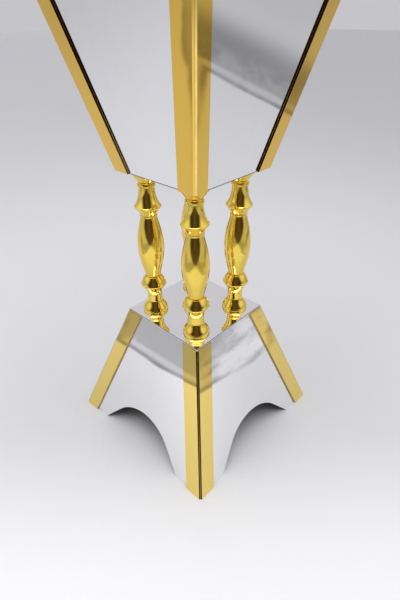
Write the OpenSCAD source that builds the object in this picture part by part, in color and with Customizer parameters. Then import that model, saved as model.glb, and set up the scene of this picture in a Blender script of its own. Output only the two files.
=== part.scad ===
// Wedding card box: an inverted pyramid of silver mirror sheet with gold
// mirror edge strips, carried by four turned gold pillars on a flared base
// with an arched cut-out in each side. The lid is hinged at the rear, has a
// card slot and a cam lock. Millimetres, Z up, front towards -Y, origin on
// the floor at the middle of the base.

/* [Sheet] */
// Thickness of the silver mirror sheet
sheet_t = 3; // [2:0.5:5]
// Thickness of the gold mirror sheet
strip_t = 3; // [2:0.5:5]

/* [Base] */
// Outer width of the base at the floor
base_w = 283; // [250:1:320]
// Outer width of the base under its top plate
base_top_w = 146; // [130:1:170]
// Height of the base from the floor to the face of its top plate
base_h = 210; // [170:1:260]
// How far the top plate stands out past the base panels
plate_lip = 1; // [0:0.5:2.5]
// Width of the gold strips on the base
base_strip_w = 27; // [15:1:34]

/* [Arches] */
// Width of each arched cut-out at the floor
arch_w = 178; // [150:1:190]
// Height of each arched cut-out, measured up the panel
arch_h = 61; // [50:1:75]
// Angle between the floor and the straight flanks of the arch
arch_flank = 48; // [44:1:52]

/* [Pillars] */
// Distance of the pillar axes from the box's outer edges at its floor
pillar_inset = 25.5; // [24:0.5:32]
// Wall of the hollow pillar pieces
pillar_wall = 2; // [1.5:0.5:3]
// Thickness of the end of each pillar piece
pillar_cap = 3; // [2:0.5:4]

/* [Pillar foot] */
// Radius of the rims of the foot bell and of the collar
foot_rim_r = 19.6; // [17:0.1:21]
// Radius of the neck between the foot bell and the collar
foot_neck_r = 11.5; // [10:0.1:14]
// Height of the ring that the foot bell stands on
foot_ring_h = 2.5; // [1.5:0.5:4]
// Height of the foot bell
foot_bell_h = 18; // [14:0.5:24]
// Height of the straight neck
foot_neck_h = 7.5; // [3:0.5:14]
// Height of the cove under the collar
foot_cove_h = 18.5; // [12:0.5:24]
// Height of the collar's rounded rim
collar_rim_h = 4; // [2:0.5:6]
// Height of the collar's upper cone
collar_cone_h = 11.5; // [8:0.5:16]
// Radius of the top of the collar
collar_top_r = 12.4; // [11.5:0.1:14]

/* [Pillar vase] */
// Radius of the vase at its middle
vase_r = 19.4; // [16:0.1:21]
// Radius of the vase at both ends
vase_end_r = 11.3; // [10:0.1:12.5]
// Height of the vase
vase_h = 93; // [80:0.5:110]
// Height of the recess below the vase
vase_recess_h = 2; // [1:0.5:4]

/* [Pillar bell] */
// Radius of the bell's rim
bell_rim_r = 18.8; // [16:0.1:21]
// Radius of the bell's upper neck
bell_neck_r = 11.1; // [10:0.1:13]
// Height of the cone under the bell's rim
bell_cone_h = 10; // [6:0.5:14]
// Height of the bell's rim
bell_rim_h = 3; // [1.5:0.5:5]
// Height of the flared part above the rim
bell_flare_h = 27; // [20:0.5:36]
// Radius of the beads at both ends of the bell
bead_r = 12.3; // [11.5:0.1:14]
// Height of those beads
bead_h = 3; // [2:0.5:5]

/* [Pillar flange] */
// Radius of the flange where it carries the box
flange_r = 21.5; // [18:0.5:22.5]
// Radius of the flange's neck
flange_neck_r = 10.6; // [9:0.1:12]
// Height of the flange's neck
flange_neck_h = 2; // [1:0.5:4]
// Height of the flange's cone
flange_cone_h = 14.5; // [10:0.5:20]
// Height of the flange's straight edge
flange_edge_h = 1.5; // [1:0.5:3]

/* [Tie rods] */
// Diameter of the tie rod in each pillar
rod_d = 6; // [5:1:8]
// Clearance around the rods in the pillar pieces and plates
rod_gap = 0.3; // [0.2:0.1:0.6]
// Length of rod that shows past each nut
rod_end = 3; // [1:0.5:6]
// Outer diameter of the washers
washer_d = 18; // [14:1:22]
// Thickness of the washers
washer_t = 1.6; // [1:0.2:2]
// Width across the flats of the nuts
nut_af = 10; // [10:1:13]
// Height of the nuts
nut_h = 5; // [4:0.5:7]

/* [Box] */
// Outer width of the box at its floor
box_w = 140; // [134:1:154]
// Outer width of the box at its top edge
box_top_w = 283; // [240:1:320]
// Height of the box walls
box_h = 300; // [220:1:360]
// Width of the gold strips on the box
box_strip_w = 25; // [20:1:34]
// Width of the narrower strips at the front edges of the side walls
box_slim_strip_w = 18; // [14:1:34]

/* [Lid] */
// How far the lid stands out past the gold strips
lid_lip = 0.5; // [0:0.5:3]
// How much further the lid stands out at the front, to lift it by
finger_lip = 6; // [0:0.5:15]
// Width of the gold border on the lid
lid_border_w = 28; // [20:1:36]
// Distance from the slot's frame to the lid's border
slot_margin = 9; // [4:0.5:24]
// Width of the card slot
slot_w = 14; // [8:1:20]
// Width of the gold frame around the slot
slot_frame_w = 8; // [5:1:12]
// Corner radius of the slot's frame
slot_frame_r = 4; // [2:0.5:5]

/* [Hinges] */
// Distance between the middles of the two hinges
hinge_pitch = 150; // [100:1:180]
// Length of each hinge along its pin
hinge_l = 32; // [24:1:40]
// Outer radius of the hinge knuckles
knuckle_r = 2.8; // [2.4:0.1:3.2]
// Radius of the hinge pins
pin_r = 1.2; // [1:0.1:1.5]
// Running clearance around the pins
pin_gap = 0.05; // [0.02:0.01:0.1]
// Gap between one hinge piece and the next
knuckle_gap = 0.4; // [0.2:0.1:0.6]
// Thickness of the hinge leaves
leaf_t = 1; // [0.8:0.1:1.4]
// Length of the leaf on the lid, from the pin's axis
lid_leaf_l = 17; // [14:1:24]
// Length of the leaf on the wall, measured down the wall
wall_leaf_l = 18; // [14:1:26]
// Diameter of the hinge screws
screw_d = 2.5; // [2:0.1:3]
// Sheet left unpierced at the end of a hinge screw
screw_skin = 0.4; // [0.2:0.1:1]
// Diameter of the screw heads
screw_head_d = 5; // [4:0.1:6]
// Height of the screw heads
screw_head_h = 1.2; // [0.8:0.1:1.6]
// Distance between the two screws of a leaf
screw_pitch = 18; // [12:1:24]

/* [Lock] */
// Diameter of the lock's barrel
barrel_d = 16; // [14:0.5:19]
// Length of the barrel under its head
barrel_l = 18.5; // [15:0.5:26]
// Diameter of the barrel's head
barrel_head_d = 20; // [19:0.5:24]
// Height of the barrel's head
barrel_head_h = 2.5; // [1.5:0.5:4]
// Width across the flats of the lock's nut
lock_nut_af = 20; // [20:0.5:24]
// Height of the lock's nut
lock_nut_h = 4; // [3:0.5:6]
// Diameter of the lock's plug
plug_d = 11; // [9:0.5:12]
// Running clearance around the plug
plug_gap = 0.05; // [0.02:0.01:0.1]
// Reach of the cam from the lock's axis
cam_reach = 27; // [24:0.5:30]
// Width of the cam's arm
cam_w = 12; // [10:0.5:14]
// Thickness of the cam
cam_t = 2; // [1.5:0.5:3]
// Width of the plug's square tang
tang_w = 7; // [5:0.5:7.5]
// Depth of the keeper's shelf over the cam
keeper_d = 12; // [9:0.5:14]
// Width of the keeper
keeper_w = 34; // [28:1:44]
// Thickness of the keeper's metal
keeper_t = 1.5; // [1:0.5:2]
// Clearance between the moving cam and what is near it
cam_gap = 0.5; // [0.4:0.1:1]

/* [Hidden] */
$fn = 72;
SIDES = ["front", "right", "rear", "left"];
CORNERS = ["front_right", "rear_right", "rear_left", "front_left"];
HANDS = ["left", "right"];
// The sheet that stands next to each edge of a side, seen from outside.
EDGE_NAMES = [["left", "right"], ["front", "rear"], ["right", "left"], ["rear", "front"]];
PILLAR_PARTS = ["foot", "vase", "bell", "flange"];

function strip_names(set) =
    [for (k = [0:3]) for (e = [0:1]) str(set, "_strip_", SIDES[k], "_", EDGE_NAMES[k][e])];
function side_names(set) = [for (side = SIDES) str(set, "_", side)];
function pillar_names() =
    [for (corner = CORNERS) for (part = PILLAR_PARTS) str("pillar_", part, "_", corner)];

SILVER = [0.86, 0.87, 0.90];
GOLD = [0.84, 0.69, 0.33];
PLATED = [0.86, 0.66, 0.18];
BRASS = [0.74, 0.58, 0.24];
STEEL = [0.70, 0.71, 0.73];

// Room for cuts that run past a face.
cut = 1;
pillar_pitch = box_w - 2 * pillar_inset;
reach = max(base_w, box_top_w);
margin = 2 * max(sheet_t, strip_t);

// A leaning wall: its outer width below and above, its foot and its rise.
panel_h = base_h - sheet_t;
BASE_SIDE = [base_w, base_top_w, 0, panel_h];
pillar_h = foot_ring_h + foot_bell_h + foot_neck_h + foot_cove_h + collar_rim_h + collar_cone_h
    + vase_recess_h + vase_h + bead_h + bell_cone_h + bell_rim_h + bell_flare_h + bead_h
    + flange_neck_h + flange_cone_h + flange_edge_h;
box_z = base_h + pillar_h;
box_top_z = box_z + box_h;
BOX_SIDE = [box_w, box_top_w, box_z, box_h];

function lean(side) = atan((side[1] - side[0]) / 2 / side[3]);
function slope_length(side) = side[3] / cos(lean(side));
// Half the wall's outer width, v up its slope from its foot.
function half_width(side, v) = side[0] / 2 + v * sin(lean(side));
// Distance of the wall's outer face from the middle, at the height z.
function face_at(side, z) = side[0] / 2 + (z - side[2]) * tan(lean(side));
// What a thickness t takes up when it is measured level.
function level(side, t) = t / cos(lean(side));

lid_z = box_top_z;
lid_half = box_top_w / 2 + level(BOX_SIDE, strip_t) + lid_lip;
slot_l = 2 * (lid_half - lid_border_w - slot_margin - slot_frame_w);
lid_top_z = lid_z + sheet_t;
border_top_z = lid_top_z + strip_t;

bore_r = rod_d / 2 + rod_gap;
rod_low_z = panel_h - washer_t - nut_h - rod_end;
rod_high_z = box_z + sheet_t + washer_t + nut_h + rod_end;

// The hinge pin's axis, in the distance from the middle and in height.
pin_out = lid_half + knuckle_gap + knuckle_r;
pin_z = border_top_z + leaf_t - knuckle_r;
middle_knuckle_l = hinge_l * 0.36;
screw_hole_r = screw_d / 2 + pin_gap;
lid_screw_out = pin_out - lid_leaf_l + screw_head_d;

// The cam hangs under the barrel, and the keeper's shelf is just above it.
barrel_low_z = lid_top_z - barrel_l;
cam_top_z = barrel_low_z - cam_gap;
cam_low_z = cam_top_z - cam_t;
keeper_z = cam_top_z + cam_gap;
keeper_wall = face_at(BOX_SIDE, keeper_z) - level(BOX_SIDE, sheet_t);
lock_y = -(keeper_wall - keeper_t - 2 * cam_gap - cam_reach);

// ---- Shared forms ----

// Puts an outline drawn in XY on the outer face of side k: X runs to the
// right as seen from outside, Y runs up the slope and Z points outwards.
module on_side(k, side) {
    rotate([0, 0, 90 * k])
        translate([0, -side[0] / 2, side[2]])
            rotate([90 + lean(side), 0, 0]) children();
}

// Extrudes a section along X on side k. The section's X is the distance out
// from the middle and its Y is the height.
module along_side(k, length) {
    rotate([0, 0, 90 * k]) rotate([90, 0, -90])
        linear_extrude(length, center = true) children();
}

// The mitred quarter of the space that belongs to side k.
module side_quarter(k, side) {
    rotate([0, 0, 90 * k]) translate([0, 0, side[2]])
        linear_extrude(side[3]) polygon([[0, 0], [reach, -reach], [-reach, -reach]]);
}

// A leaning sheet, mitred to its neighbours and cut level at foot and top.
module wall_sheet(k, side) {
    intersection() {
        side_quarter(k, side);
        on_side(k, side) translate([-reach, -margin, -sheet_t])
            cube([2 * reach, slope_length(side) + 2 * margin, sheet_t]);
    }
}

// The plane of the facet between the two strips of a corner, as a side.
function facet_side(side) = let (t = level(side, strip_t))
    [sqrt(2) * (side[0] + t), sqrt(2) * (side[1] + t), side[2], side[3]];

// A gold strip on side k along its left (0) or right (1) edge. It meets its
// neighbour in a mitre, and a flat facet takes off the corner of the two.
module edge_strip(k, e, w, side) {
    sign = e == 0 ? -1 : 1;
    foot = -margin;
    head = slope_length(side) + margin;
    facet = facet_side(side);
    intersection() {
        side_quarter(k, side);
        on_side(k, side) linear_extrude(strip_t) polygon([
            [sign * (half_width(side, foot) + margin), foot],
            [sign * (half_width(side, head) + margin), head],
            [sign * (half_width(side, head) - w), head],
            [sign * (half_width(side, foot) - w), foot]
        ]);
        on_side(k + sign / 2, facet) translate([-reach, -reach, -reach])
            cube([2 * reach, slope_length(facet) + 2 * reach, reach]);
    }
}

module at_pillar(c) {
    rotate([0, 0, 90 * c]) translate([pillar_pitch / 2, -pillar_pitch / 2, 0]) children();
}

module at_pillars() {
    for (c = [0:3]) at_pillar(c) children();
}

module rounded_plate(size, r) {
    square([size[0], size[1] - 2 * r], center = true);
    square([size[0] - 2 * r, size[1]], center = true);
    for (x = [-1, 1], y = [-1, 1])
        translate([x * (size[0] / 2 - r), y * (size[1] / 2 - r)]) circle(r);
}

module hexagon_nut(af, h, r) {
    difference() {
        cylinder(h = h, d = af / cos(30), $fn = 6);
        translate([0, 0, -cut]) cylinder(h = h + 2 * cut, r = r);
    }
}

// ---- Base ----

// The arch: a round crown that runs tangent into two straight flanks.
arch_steps = 24;
module arch_outline() {
    half = arch_w / 2;
    crown_y = (arch_h - half * sin(arch_flank)) / (1 - cos(arch_flank));
    crown_r = arch_h - crown_y;
    crown = [for (i = [0:arch_steps]) let (a = arch_flank * (1 - 2 * i / arch_steps))
        [crown_r * sin(a), crown_y + crown_r * cos(a)]];
    polygon(concat([[-half, -margin], [half, -margin], [half, 0]], crown, [[-half, 0]]));
}

module base_panel(k) {
    color(SILVER) difference() {
        wall_sheet(k, BASE_SIDE);
        on_side(k, BASE_SIDE) translate([0, 0, -sheet_t - cut])
            linear_extrude(sheet_t + 2 * cut) arch_outline();
    }
}

module base_top_plate() {
    w = base_top_w + 2 * plate_lip;
    color(SILVER) difference() {
        translate([-w / 2, -w / 2, panel_h]) cube([w, w, sheet_t]);
        at_pillars() translate([0, 0, panel_h - cut]) cylinder(h = sheet_t + 2 * cut, r = bore_r);
    }
}

module base_strip(k, e) {
    color(GOLD) edge_strip(k, e, base_strip_w, BASE_SIDE);
}

// ---- Pillars ----

// Runs of [radius, height] points for a turned outline.
steps = 10;
function run(z, h, radius) = [for (i = [0:steps]) [radius(i / steps), z + h * i / steps]];
function straight(r, z, h) = [[r, z], [r, z + h]];
function ogee(r0, r1, z, h) = run(z, h, function(t) r1 + (r0 - r1) * (1 + cos(180 * t)) / 2);
function cove(r0, r1, z, h) = run(z, h, function(t) r0 + (r1 - r0) * (1 - cos(90 * t)));
function belly(r0, r1, swell, z, h) =
    run(z, h, function(t) r0 + (r1 - r0) * t + swell * sin(180 * t));
function flare(r0, r1, power, z, h) = run(z, h, function(t) r1 + (r0 - r1) * pow(1 - t, power));

rim_round = 1;
collar_swell = 0.7;
bell_power = 2.4;

z_neck = foot_ring_h + foot_bell_h;
z_cove = z_neck + foot_neck_h;
z_rim = z_cove + foot_cove_h;
z_cone = z_rim + collar_rim_h;
foot_h = z_cone + collar_cone_h;
FOOT = concat(
    straight(foot_rim_r - rim_round, 0, foot_ring_h),
    ogee(foot_rim_r, foot_neck_r, foot_ring_h, foot_bell_h),
    cove(foot_neck_r, foot_rim_r - rim_round, z_cove, foot_cove_h),
    belly(foot_rim_r - rim_round, foot_rim_r - rim_round, rim_round, z_rim, collar_rim_h),
    belly(foot_rim_r - rim_round, collar_top_r, collar_swell, z_cone, collar_cone_h)
);

vase_z = foot_h;
VASE = concat(
    straight(vase_end_r - rim_round / 2, vase_z, vase_recess_h),
    belly(vase_end_r, vase_end_r, vase_r - vase_end_r, vase_z + vase_recess_h, vase_h)
);

bell_z = vase_z + vase_recess_h + vase_h;
z_bell_rim = bell_z + bead_h + bell_cone_h;
z_bell_flare = z_bell_rim + bell_rim_h;
z_bead = z_bell_flare + bell_flare_h;
BELL = concat(
    straight(bead_r, bell_z, bead_h),
    [[bead_r - rim_round / 2, bell_z + bead_h]],
    belly(bell_rim_r - rim_round, bell_rim_r - rim_round, rim_round, z_bell_rim, bell_rim_h),
    flare(bell_rim_r - rim_round, bell_neck_r, bell_power, z_bell_flare, bell_flare_h),
    straight(bead_r, z_bead, bead_h)
);

flange_z = z_bead + bead_h;
FLANGE = concat(
    straight(flange_neck_r, flange_z, flange_neck_h),
    straight(flange_r, flange_z + flange_neck_h + flange_cone_h, flange_edge_h)
);

PILLAR_OUTLINES = [FOOT, VASE, BELL, FLANGE];

// One turned pillar piece: a thin shell that is closed at both ends, with
// a hole for the tie rod right through.
module pillar_piece(c, part) {
    outline = PILLAR_OUTLINES[part];
    last = len(outline) - 1;
    low = outline[0][1];
    high = outline[last][1];
    hollow_low = low + pillar_cap;
    hollow_high = high - pillar_cap;
    radius_at = [for (p = outline) [p[1], p[0]]];
    color(PLATED) at_pillar(c) translate([0, 0, base_h]) rotate_extrude() polygon(concat(
        outline,
        [[bore_r, high], [bore_r, hollow_high]],
        [[lookup(hollow_high, radius_at) - pillar_wall, hollow_high]],
        [for (i = [last:-1:0]) if (outline[i][1] > hollow_low && outline[i][1] < hollow_high)
            [outline[i][0] - pillar_wall, outline[i][1]]],
        [[lookup(hollow_low, radius_at) - pillar_wall, hollow_low]],
        [[bore_r, hollow_low], [bore_r, low]]
    ));
}

module tie_rods() {
    color(STEEL) at_pillars() translate([0, 0, rod_low_z])
        cylinder(h = rod_high_z - rod_low_z, d = rod_d);
}

// The washers and nuts under the base's top plate and on the box's floor.
module at_rod_ends(low, high) {
    at_pillars() {
        translate([0, 0, low]) children();
        translate([0, 0, high]) children();
    }
}

module rod_washers() {
    color(STEEL) at_rod_ends(panel_h - washer_t, box_z + sheet_t) difference() {
        cylinder(h = washer_t, d = washer_d);
        translate([0, 0, -cut]) cylinder(h = washer_t + 2 * cut, r = bore_r);
    }
}

module rod_nuts() {
    color(STEEL) at_rod_ends(panel_h - washer_t - nut_h, box_z + sheet_t + washer_t)
        hexagon_nut(nut_af, nut_h, rod_d / 2 + pin_gap);
}

// ---- Box ----

// The floor lies between the walls and is bevelled to their slope.
module box_floor() {
    color(SILVER) difference() {
        translate([-box_w / 2, -box_w / 2, box_z]) cube([box_w, box_w, sheet_t]);
        for (k = [0:3]) on_side(k, BOX_SIDE) translate([-reach, -margin, -sheet_t])
            cube([2 * reach, 4 * margin, reach]);
        at_pillars() translate([0, 0, box_z - cut]) cylinder(h = sheet_t + 2 * cut, r = bore_r);
    }
}

// Section of a hinge leaf's plate on the rear wall, which ends below the lid
// in a step out to the knuckles.
leaf_bend_z = lid_z - 2 * leaf_t - knuckle_gap;
leaf_foot_z = leaf_bend_z - wall_leaf_l * cos(lean(BOX_SIDE));
wall_screw_v = (leaf_foot_z + (leaf_bend_z - leaf_foot_z) * 0.42 - box_z) / cos(lean(BOX_SIDE));

module at_wall_screws(hands = [-1, 1]) {
    for (hand = hands, s = [-1, 1])
        on_side(2, BOX_SIDE)
            translate([-hand * hinge_pitch / 2 + s * screw_pitch / 2, wall_screw_v, 0]) children();
}

module at_lid_screws(hands = [-1, 1]) {
    for (hand = hands, s = [-1, 1])
        translate([hand * hinge_pitch / 2 + s * screw_pitch / 2, lid_screw_out, 0]) children();
}

module box_wall(k) {
    color(SILVER) difference() {
        wall_sheet(k, BOX_SIDE);
        if (k == 2) at_wall_screws() translate([0, 0, -sheet_t - cut])
            cylinder(h = sheet_t + 2 * cut, r = screw_hole_r);
    }
}

// The side walls' strips at the front edges are the slim ones.
function box_strip_width(k, e) = EDGE_NAMES[k][e] == "front" ? box_slim_strip_w : box_strip_w;

module box_strip(k, e) {
    color(GOLD) edge_strip(k, e, box_strip_width(k, e), BOX_SIDE);
}

// ---- Lid ----

// The lid's outline, or what lies a border's width inside it.
module lid_outline(inset = 0) {
    w = 2 * (lid_half - inset);
    translate([-w / 2, -lid_half - finger_lip + inset]) square([w, w + finger_lip]);
}

module lid_panel() {
    color(SILVER) difference() {
        translate([0, 0, lid_z]) linear_extrude(sheet_t) difference() {
            lid_outline();
            square([slot_l, slot_w], center = true);
        }
        translate([0, lock_y, lid_z - cut]) cylinder(h = sheet_t + 2 * cut, d = barrel_d + 2 * pin_gap);
        at_lid_screws() translate([0, 0, lid_z - cut]) cylinder(h = sheet_t + 2 * cut, r = screw_hole_r);
    }
}

module lid_border() {
    color(GOLD) difference() {
        translate([0, 0, lid_top_z]) linear_extrude(strip_t) difference() {
            lid_outline();
            lid_outline(lid_border_w);
        }
        at_lid_screws() translate([0, 0, lid_top_z - cut])
            cylinder(h = strip_t + 2 * cut, r = screw_hole_r);
    }
}

module slot_frame() {
    color(GOLD) translate([0, 0, lid_top_z]) linear_extrude(strip_t) difference() {
        rounded_plate([slot_l + 2 * slot_frame_w, slot_w + 2 * slot_frame_w], slot_frame_r);
        square([slot_l, slot_w], center = true);
    }
}

// ---- Hinges ----

module hinge_barrel(x, length) {
    translate([x, pin_out, pin_z]) rotate([0, 90, 0])
        cylinder(h = length, r = knuckle_r, center = true);
}

module hinge_bore() {
    translate([0, pin_out, pin_z]) rotate([0, 90, 0])
        cylinder(h = hinge_l + 2 * cut, r = pin_r + pin_gap, center = true);
}

module hinge_wall_leaf(hand) {
    out = level(BOX_SIDE, leaf_t);
    step_out = pin_out - knuckle_r;
    end_l = (hinge_l - middle_knuckle_l) / 2 - knuckle_gap;
    notch_w = middle_knuckle_l + 2 * knuckle_gap;
    color(BRASS) difference() {
        translate([hand * hinge_pitch / 2, 0, 0]) difference() {
            union() {
                along_side(2, hinge_l) polygon([
                    [face_at(BOX_SIDE, leaf_foot_z), leaf_foot_z],
                    [face_at(BOX_SIDE, leaf_bend_z), leaf_bend_z],
                    [step_out, leaf_bend_z + leaf_t],
                    [step_out, pin_z],
                    [step_out + leaf_t, pin_z],
                    [step_out + leaf_t, leaf_bend_z],
                    [face_at(BOX_SIDE, leaf_bend_z - leaf_t) + out, leaf_bend_z - leaf_t],
                    [face_at(BOX_SIDE, leaf_foot_z) + out, leaf_foot_z]
                ]);
                for (s = [-1, 1]) hinge_barrel(s * (hinge_l - end_l) / 2, end_l);
            }
            translate([-notch_w / 2, step_out - cut, leaf_bend_z + leaf_t])
                cube([notch_w, 2 * knuckle_r + 2 * cut, reach]);
            hinge_bore();
        }
        at_wall_screws([hand]) translate([0, 0, -cut])
            cylinder(h = 4 * leaf_t + cut, r = screw_hole_r);
    }
}

module hinge_lid_leaf(hand) {
    color(BRASS) difference() {
        translate([hand * hinge_pitch / 2, 0, 0]) difference() {
            union() {
                translate([-hinge_l / 2, pin_out - lid_leaf_l, border_top_z])
                    cube([hinge_l, lid_leaf_l - knuckle_r - knuckle_gap, leaf_t]);
                translate([-middle_knuckle_l / 2, pin_out - lid_leaf_l, border_top_z])
                    cube([middle_knuckle_l, lid_leaf_l, leaf_t]);
                hinge_barrel(0, middle_knuckle_l);
            }
            hinge_bore();
        }
        at_lid_screws([hand]) translate([0, 0, border_top_z - cut])
            cylinder(h = leaf_t + 2 * cut, r = screw_hole_r);
    }
}

module hinge_pins() {
    color(STEEL) for (hand = [-1, 1])
        translate([hand * hinge_pitch / 2, pin_out, pin_z]) rotate([0, 90, 0])
            cylinder(h = hinge_l, r = pin_r, center = true);
}

// A screw through a leaf and into sheets that are `deep` thick.
module leaf_screw(deep) {
    translate([0, 0, leaf_t]) cylinder(h = screw_head_h, d = screw_head_d);
    translate([0, 0, screw_skin - deep]) cylinder(h = deep - screw_skin + leaf_t, d = screw_d);
}

module hinge_wall_screws() {
    color(BRASS) at_wall_screws() leaf_screw(sheet_t);
}

module hinge_lid_screws() {
    color(BRASS) at_lid_screws() translate([0, 0, border_top_z]) leaf_screw(strip_t + sheet_t);
}

// ---- Lock ----

module lock_barrel() {
    color(GOLD) translate([0, lock_y, 0]) difference() {
        union() {
            translate([0, 0, lid_top_z]) cylinder(h = barrel_head_h, d = barrel_head_d);
            translate([0, 0, barrel_low_z]) cylinder(h = barrel_l, d = barrel_d);
        }
        translate([0, 0, barrel_low_z - cut])
            cylinder(h = barrel_l + barrel_head_h + 2 * cut, d = plug_d + 2 * plug_gap);
    }
}

module lock_nut() {
    color(STEEL) translate([0, lock_y, lid_z - lock_nut_h])
        hexagon_nut(lock_nut_af, lock_nut_h, barrel_d / 2 + pin_gap);
}

keyway_w = 1.6;
keyway_l = 7;
keyway_deep = 8;
rivet_h = 1.2;

module lock_plug() {
    top = lid_top_z + barrel_head_h;
    color(STEEL) translate([0, lock_y, 0]) difference() {
        union() {
            translate([0, 0, cam_top_z]) cylinder(h = top - cam_top_z, d = plug_d);
            translate([-tang_w / 2, -tang_w / 2, cam_low_z]) cube([tang_w, tang_w, cam_t]);
            translate([0, 0, cam_low_z - rivet_h]) cylinder(h = rivet_h, d = plug_d);
        }
        translate([-keyway_w / 2, -keyway_l / 2, top - keyway_deep])
            cube([keyway_w, keyway_l, keyway_deep + cut]);
    }
}

// Drawn pointing to -X, clear of the keeper. A quarter turn locks the lid.
module lock_cam() {
    arm = cam_reach - cam_w / 2;
    color(STEEL) translate([0, lock_y, cam_low_z]) linear_extrude(cam_t) difference() {
        union() {
            circle(d = barrel_d);
            translate([-arm, -cam_w / 2]) square([arm, cam_w]);
            translate([-arm, 0]) circle(d = cam_w);
        }
        square(tang_w, center = true);
    }
}

// A shelf on the front wall's inner face, just above the cam's arm.
module lock_keeper() {
    inset = level(BOX_SIDE, sheet_t);
    leg_top_z = lid_z - 2 * cam_gap;
    leg = level(BOX_SIDE, keeper_t);
    color(STEEL) along_side(0, keeper_w) polygon([
        [keeper_wall, keeper_z],
        [face_at(BOX_SIDE, leg_top_z) - inset, leg_top_z],
        [face_at(BOX_SIDE, leg_top_z) - inset - leg, leg_top_z],
        [face_at(BOX_SIDE, keeper_z + keeper_t) - inset - leg, keeper_z + keeper_t],
        [keeper_wall - keeper_d, keeper_z + keeper_t],
        [keeper_wall - keeper_d, keeper_z]
    ]);
}

// ---- Nodes ----

for (k = [0:3]) {
    base_panel(k);
    box_wall(k);
    for (e = [0:1]) {
        base_strip(k, e);
        box_strip(k, e);
    }
    for (part = [0:3])
        pillar_piece(k, part);
}
base_top_plate();
tie_rods();
rod_washers();
rod_nuts();
box_floor();
lid_panel();
lid_border();
slot_frame();
for (h = [0:1]) {
    hinge_wall_leaf(2 * h - 1);
    hinge_lid_leaf(2 * h - 1);
}
hinge_pins();
hinge_wall_screws();
hinge_lid_screws();
lock_barrel();
lock_nut();
lock_plug();
lock_cam();
lock_keeper();
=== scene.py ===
"""Looks of a wedding card box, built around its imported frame.

An upturned pyramid of silver mirror sheet, edged with gold mirror strips,
stands on four turned gold pillars. They rise from a flared base with an
arched cut-out in each side. The lid is hinged at the rear and carries the
card slot and a cam lock.

Everything is in metres, Z up, with the front towards -Y and the origin on
the floor at the middle of the base.
"""

import logging
import math
from dataclasses import dataclass, field
from enum import Enum
from functools import partial
from typing import Callable, Dict, List, Optional, Sequence, Tuple, Union

import bmesh
import bpy
from mathutils import Matrix, Vector

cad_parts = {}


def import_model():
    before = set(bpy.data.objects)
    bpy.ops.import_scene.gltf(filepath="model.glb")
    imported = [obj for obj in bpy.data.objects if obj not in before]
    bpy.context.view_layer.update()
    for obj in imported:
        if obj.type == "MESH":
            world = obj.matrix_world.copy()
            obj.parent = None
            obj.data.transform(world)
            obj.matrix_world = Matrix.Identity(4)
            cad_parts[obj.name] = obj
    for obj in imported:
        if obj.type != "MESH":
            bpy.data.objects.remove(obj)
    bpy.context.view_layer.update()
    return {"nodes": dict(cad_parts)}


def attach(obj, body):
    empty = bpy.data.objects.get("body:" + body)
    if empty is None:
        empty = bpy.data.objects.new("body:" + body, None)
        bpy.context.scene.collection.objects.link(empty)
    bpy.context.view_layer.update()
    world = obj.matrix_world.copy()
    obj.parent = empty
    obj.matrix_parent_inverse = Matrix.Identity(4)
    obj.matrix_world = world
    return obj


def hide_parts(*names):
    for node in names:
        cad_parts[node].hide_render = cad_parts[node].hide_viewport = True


log = logging.getLogger("card_box")

Point = Tuple[float, float]
Colour = Tuple[float, float, float]
Socket = bpy.types.NodeSocket
Value = Union[float, Socket]
Shade = Union[Colour, Socket]
Piece = bpy.types.Object
Mesh = bmesh.types.BMesh
Face = bmesh.types.BMFace
Ring = List[bmesh.types.BMVert]

MM = 0.001
SIDES = ("front", "right", "rear", "left")
CORNERS = ("front_right", "rear_right", "rear_left", "front_left")
EDGES = (("left", "right"), ("front", "rear"), ("right", "left"), ("rear", "front"))

# Points nearer than this are one.
WELD = 1e-6

# How far polygons turn towards a sheet's face, as cosines, and the area of a broad one.
FLAT = 0.995
SLOPED = 0.5
EASED = 0.3
BROAD = 200 * MM * MM


class Body(Enum):
    """The moving bodies that pieces ride on."""

    STAND = "stand_and_box"
    LID = "lid"
    LOCK = "lock"


class Slot(Enum):
    """Names of material slots, handed to fit with each piece but not used there."""

    SILVER = "silver_mirror"
    GOLD = "gold_mirror"
    PLATED = "gold_plated"
    BRASS = "brass"
    STEEL = "steel"


class SheetSide(Enum):
    """The places of a mirror sheet, in the order of its material slots."""

    FACE = 0
    BACK = 1
    EDGE = 2
    ARRIS = 3
    # A dark line of painted shade along an edge or in a corner notch.
    PAINTED_SHADE = 4


# ---------------------------------------------------------------- node graphs


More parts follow.
